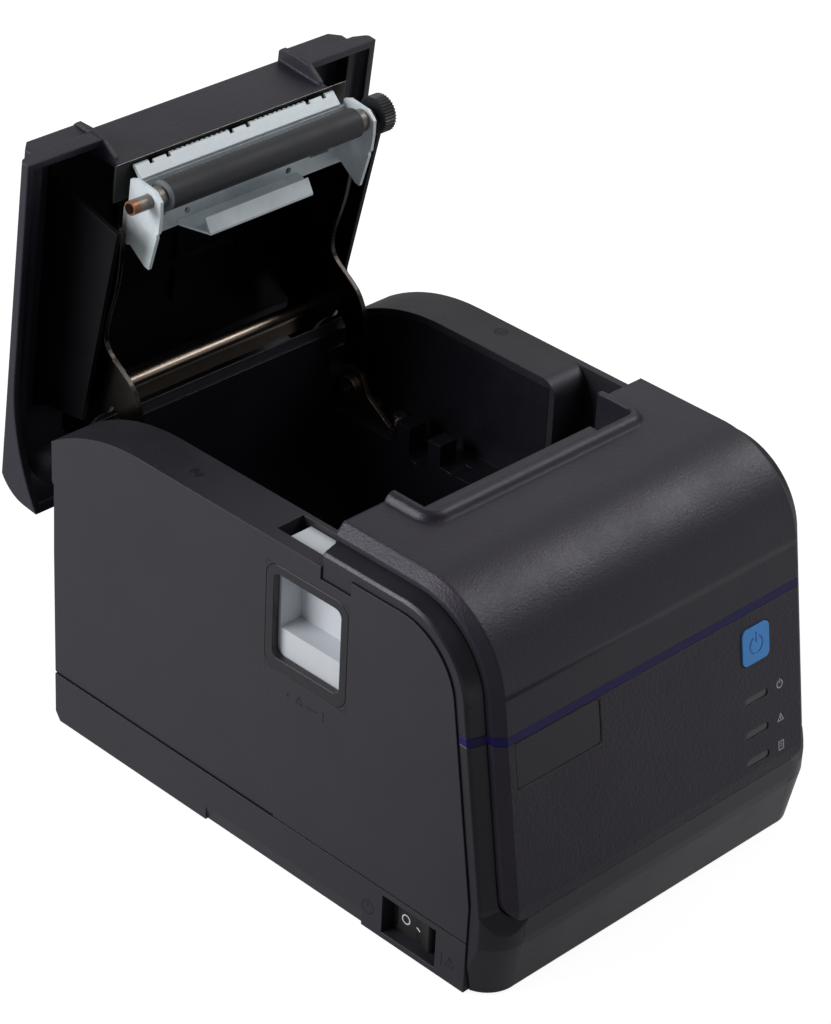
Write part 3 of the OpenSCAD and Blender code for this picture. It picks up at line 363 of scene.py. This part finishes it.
FACE_SIGNS = marks_group("face signs", [
    (FACE_POINT, *FACE, [
        ("ring", SIGN_X, 11.3, 1.25, 0.5), ("bar", SIGN_X, 12.3, 0.14, 0.9),
        ("tri", SIGN_X, -0.5, 1.5), ("bar", SIGN_X, -0.3, 0.14, 0.55),
        ("frame", SIGN_X, -9.9, 1.1, 1.4),
        ("bar", SIGN_X, -9.4, 0.6, 0.12), ("bar", SIGN_X, -10.2, 0.6, 0.12)]),
])
FACE_GROOVE = marks_group("badge groove", [
    (FACE_POINT, *FACE, [("frame", -42.9, 33.1, 17.55, 7.5, 0.28)]),
])
ROCKER_MARKS = marks_group("rocker marks", [
    (mm(-68.66, -58.8, 8.4), *LEFT, [("ring", 0, 0, 1.5, 0)]),
    (mm(-69.1, -64.4, 8.2), (-0.31, -0.95, 0), (0, 0, 1), [("bar", 0, 0, 1.1, 0.28)]),
])
# rings of another colour round the ends of the roller's parts
BUSH_END = marks_group("bush end", [(mm(-52.2, 0, 0), *LEFT, WHOLE, 2.4)])
SHAFT_END = marks_group("shaft end", [(mm(-52.6, 0, 0), *LEFT, WHOLE, 0.3)])
ROLLER_END = marks_group("roller end", [(mm(-40, 0, 0), *LEFT, WHOLE, 1.3)])
# the thin gaps of the case, which the edges of the shells would otherwise soften away
GAPS = marks_group("gaps", [
    (mm(-HALF_W, 0, SEAM_Z), *LEFT, [
        ("bar", 5, 0, 91.5, 0.42), ("frame", -16.65, 71.6, 17.1, 18.25, 0.2)]),
    (mm(HALF_W, 0, SEAM_Z), *LEFT, [("bar", 5, 0, 91.5, 0.42)]),
])
M = {}
# Each material's edge factor lightens its edges, partly as rubbing and partly as painted edge
# highlights.
M["case"] = material("case", CASE, rough=0.5, grain=1500, depth=0.35, edge=0.0004, edge_wear_and_highlight=1.9,
                     tint=COOL, marks=[(CASE_MARKS, (9, 9, 11), 0.0004), (GAPS, (12, 12, 14), 0)])
M["base"] = material("base", CASE, rough=0.5, grain=1500, depth=0.35, edge=0.0004, edge_wear_and_highlight=1.9,
                     tint=COOL, marks=[(BASE_MARKS, (12, 12, 14), 0.0003), (GAPS, (12, 12, 14), 0)])
M["top"] = material("top", lin((31, 28, 38)), rough=0.44, grain=1300, depth=1.0, edge=0.0012,
                    edge_wear_and_highlight=1.7, tint=COOL)
# the panel's edges are lightened 2.6 times, as painted edge highlights
M["panel"] = material("panel", lin((36, 32, 43)), rough=0.5, grain=900, depth=2.4, edge=0.0006,
                      edge_wear_and_highlight=2.6, tint=COOL, marks=[(FACE_GROOVE, (4, 4, 6), 0.0003),
                                                  (FACE_SIGNS, (186, 188, 194), 0)])
M["bezel"] = material("bezel", lin((21, 19, 27)), spec=0.62, rough=0.34, grain=1500, depth=0.2,
                      edge=0.0007, edge_wear_and_highlight=1.9, tint=COOL)
# the window bezel's rims are lightened 3 times, as painted highlights
M["window"] = material("window", lin((28, 27, 32)), rough=0.34, grain=1500, depth=0.2, edge=0.0006,
                       edge_wear_and_highlight=3.0, tint=COOL)
# darker than the case's plastic, as painted shade in the paper bucket's recess
M["inside"] = material("inside", lin((24, 23, 31)), rough=0.4, grain=900, depth=0.2, tint=COOL)
# darker than the case's plastic, as painted shade on the cover frame's inner faces
M["lid_shaded"] = material("lid_shaded", lin((9, 9, 13)), rough=0.42, grain=900, depth=0.2, spec=0.15, tint=COOL)
M["black"] = material("black", lin((22, 22, 24)), rough=0.45, grain=1200, depth=0.2)
M["rocker"] = material("rocker", lin((20, 20, 22)), rough=0.4, grain=1200, depth=0.15,
                       marks=[(ROCKER_MARKS, (214, 216, 220), 0)])
M["badge"] = material("badge", lin((30, 27, 35)), tint=COOL, rough=0.4, grain=2500, depth=0.12)
M["stripe"] = material("stripe", lin((25, 19, 82)), rough=0.42, grain=800, depth=0.05, spec=0.25,
                       spread=0.2)
M["button"] = material("button", lin((60, 150, 232)), rough=0.36, grain=1600, depth=0.1, coat=0.1,
                       spread=0.05, edge_wear_and_highlight=1.3, edge=0.0005)
M["lens"] = material("lens", lin((54, 54, 58)), rough=0.3, grain=900, depth=0.05, coat=0.3)
M["lever"] = material("lever", lin((200, 204, 210)), rough=0.42, grain=1200, depth=0.15,
                      spread=0.04, edge_wear_and_highlight=1.08)
M["zinc"] = material("zinc", lin((222, 232, 238)), rough=0.42, metal=0.1, grain=700, depth=0.12,
                     patch=110, spread=0.1, rough_spread=0.12, edge_wear_and_highlight=1.2, edge=0.0002)
M["nickel"] = material("nickel", lin((150, 138, 126)), rough=0.3, metal=1.0, grain=300, depth=0.02,
                       patch=40, spread=0.08, rough_spread=0.05, edge_wear_and_highlight=1.2, edge=0.0004)
# the arms and the blade below lighten their edges 6 and 7 times, as painted edge highlights
M["arm"] = material("arm", lin((62, 58, 55)), rough=0.3, metal=1.0, grain=300, depth=0.02,
                    patch=40, spread=0.12, rough_spread=0.06, edge_wear_and_highlight=6.0, edge=0.0006)
M["blade"] = material("blade", lin((70, 68, 66)), rough=0.32, metal=1.0, grain=900, depth=0.05,
                      spread=0.15, edge_wear_and_highlight=7.0, edge=0.0003)
M["steel"] = material("steel", lin((170, 170, 172)), rough=0.34, metal=1.0, grain=1200, depth=0.1,
                      spread=0.12, edge=0.0001, streaks=(20, 900, 900))
M["shaft"] = material("shaft", lin((150, 148, 144)), rough=0.36, metal=1.0, grain=1600, depth=0.2,
                      spread=0.15, edge=0.0001, marks=[(SHAFT_END, (44, 30, 26), 0)])
M["bronze"] = material("bronze", lin((128, 122, 116)), rough=0.42, metal=0.6, grain=2200, depth=0.5,
                       patch=500, spread=0.35, edge=0.0001, marks=[(BUSH_END, (150, 104, 80), 0)])
M["rubber"] = material("rubber", lin((46, 47, 52)), rough=0.6, grain=1300, depth=0.5,
                       spread=0.15, edge_wear_and_highlight=1.3, streaks=(1600, 60, 60),
                       marks=[(ROLLER_END, (112, 118, 124), 0)])
M["ivory"] = material("ivory", lin((214, 208, 190)), rough=0.45, grain=900, depth=0.1, spread=0.04,
                      edge_wear_and_highlight=1.05)
M["board"] = material("board", lin((24, 92, 52)), rough=0.35, grain=600, depth=0.1, patch=220,
                      spread=0.3, coat=0.3)
M["can"] = material("can", lin((150, 150, 154)), rough=0.4, metal=0.9, grain=800, depth=0.1,
                    streaks=(40, 40, 900))
M["dull"] = material("dull", lin((64, 66, 70)), rough=0.55, metal=0.6, grain=800, depth=0.12)
M["socket"] = material("socket", lin((200, 200, 202)), rough=0.3, metal=1.0, grain=900, depth=0.06,
                       patch=120)
M["foot"] = material("foot", lin((34, 34, 36)), rough=0.75, grain=1000, depth=0.5)

for key, names in {
    "case": "upper_case rear_plate",
    "window": "window_bezel",
    "base": "base_tub",
    "top": "front_cover cover_shell",
    "panel": "front_panel",
    "bezel": "front_frame",
    "inside": "paper_bucket",
    "lid_shaded": "cover_frame",
    "rocker": "power_rocker",
    "black": "switch_body power_inlet platen_gear",
    "badge": "badge_plate",
    "stripe": "trim_stripe",
    "button": "feed_button",
    "lens": "led_lenses",
    "lever": "release_lever",
    "zinc": "platen_bracket tear_comb paper_guide",
    "dull": "head_frame cutter_housing latch_hooks",
    "nickel": "hinge_brackets cross_bar hinge_pins",
    "arm": "hinge_arm_left hinge_arm_right",
    "blade": "fixed_blade",
    "steel": "lever_spring cover_screws head_springs cutter_blade case_screws "
             "mechanism_screws",
    "shaft": "platen_shaft",
    "bronze": "platen_bushes",
    "rubber": "platen_roller",
    "ivory": "motor_pinion idler_gear cutter_pinion sensor_lever drawer_socket",
    "board": "panel_board main_board",
    "can": "feed_motor cutter_motor print_head",
    "socket": "data_sockets",
    "foot": "rubber_feet",
}.items():
    for name in names.split():
        dress(name, M[key])


def add_soft_spring():
    """The lever's spring again, as a piece of its own on the base, with its doubled points merged
    and smooth shading.
    """
    mesh = nodes["lever_spring"].data.copy()
    mesh.name = "lever_return_spring"
    bm = bmesh.new()
    bm.from_mesh(mesh)
    bmesh.ops.remove_doubles(bm, verts=bm.verts, dist=1e-7)
    bm.to_mesh(mesh)
    bm.free()
    spring = bpy.data.objects.new("lever_return_spring", mesh)
    bpy.context.scene.collection.objects.link(spring)
    for poly in mesh.polygons:
        poly.use_smooth = True
    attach(spring, "base")
    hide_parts("lever_spring")
    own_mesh(spring)


add_soft_spring()

# ---- stage ---------------------------------------------------------------


def add_area(name, place, target, size, power, colour=(1, 1, 1)):
    data = bpy.data.lights.new(name, "AREA")
    data.shape = "RECTANGLE"
    data.size, data.size_y = size
    data.energy = power
    data.color = colour
    lamp = bpy.data.objects.new(name, data)
    lamp.location = place
    lamp.rotation_euler = (Vector(target) - Vector(place)).to_track_quat("-Z", "Y").to_euler()
    bpy.context.scene.collection.objects.link(lamp)


# the centre of the floor's painted dark patch, reflected as painted shade on the object's
# front-left faces
REFLECTED_SHADE_SPOT = (-0.22, -0.29, 0)


def floor_material():
    """Plain and pale: white to the camera, with the object's shadow. To the object it glows more
    softly as painted light, with a painted dark patch in front of the left corner that the object's
    front-left faces reflect as painted shade."""
    m = bpy.data.materials.new("floor")
    m.use_nodes = True
    n, link = m.node_tree.nodes, m.node_tree.links.new
    b = n["Principled BSDF"]
    b.inputs["Base Color"].default_value = (0.2, 0.2, 0.2, 1)
    b.inputs["Roughness"].default_value = 0.9
    b.inputs["Specular IOR Level"].default_value = 0.1
    geo = n.new("ShaderNodeNewGeometry")
    far = n.new("ShaderNodeVectorMath")
    far.operation = "DISTANCE"
    far.inputs[1].default_value = REFLECTED_SHADE_SPOT
    link(geo.outputs["Position"], far.inputs[0])
    # the floor's painted glow to the object, dimmed to a painted dark patch near that spot
    glow_with_shade_patch = n.new("ShaderNodeMapRange")
    glow_with_shade_patch.interpolation_type = "SMOOTHSTEP"
    glow_with_shade_patch.inputs["From Min"].default_value = 0.12
    glow_with_shade_patch.inputs["From Max"].default_value = 0.36
    glow_with_shade_patch.inputs["To Min"].default_value = 0.02
    glow_with_shade_patch.inputs["To Max"].default_value = 0.36
    link(far.outputs["Value"], glow_with_shade_patch.inputs["Value"])
    path = n.new("ShaderNodeLightPath")
    pick = n.new("ShaderNodeMix")
    pick.inputs["B"].default_value = 0.92
    link(path.outputs["Is Camera Ray"], pick.inputs["Factor"])
    link(glow_with_shade_patch.outputs["Result"], pick.inputs["A"])
    b.inputs["Emission Color"].default_value = (1, 1, 1, 1)
    link(pick.outputs["Result"], b.inputs["Emission Strength"])
    return m


def add_stage():
    bpy.ops.mesh.primitive_plane_add(size=30)
    floor = bpy.context.object
    floor.name = "floor"
    floor.data.materials.append(floor_material())
    w = bpy.data.worlds.new("world")
    bpy.context.scene.world = w
    w.use_nodes = True
    n, link = w.node_tree.nodes, w.node_tree.links.new
    bg = n["Background"]
    bg.inputs["Color"].default_value = (1, 1, 1, 1)
    path = n.new("ShaderNodeLightPath")
    lift = n.new("ShaderNodeMapRange")
    lift.inputs["To Min"].default_value = 0.16
    lift.inputs["To Max"].default_value = 1.0
    link(path.outputs["Is Camera Ray"], lift.inputs["Value"])
    link(lift.outputs["Result"], bg.inputs["Strength"])
    add_area("key", (0.97, -0.38, 1.19), (0, 0, 0.1), (0.75, 0.75), 8.5)
    add_area("back", (1.0, 0.9, 0.9), (0, 0, 0.1), (1.3, 1.0), 2.5)
    add_area("left", (-1.25, 0.75, 0.75), (0, 0, 0.1), (1.0, 0.9), 23)
    add_area("front", (1.15, -1.0, 0.3), (0, 0, 0.08), (0.8, 0.6), 1.0)


add_camera()
add_stage()

bpy.context.scene.view_settings.view_transform = "Standard"
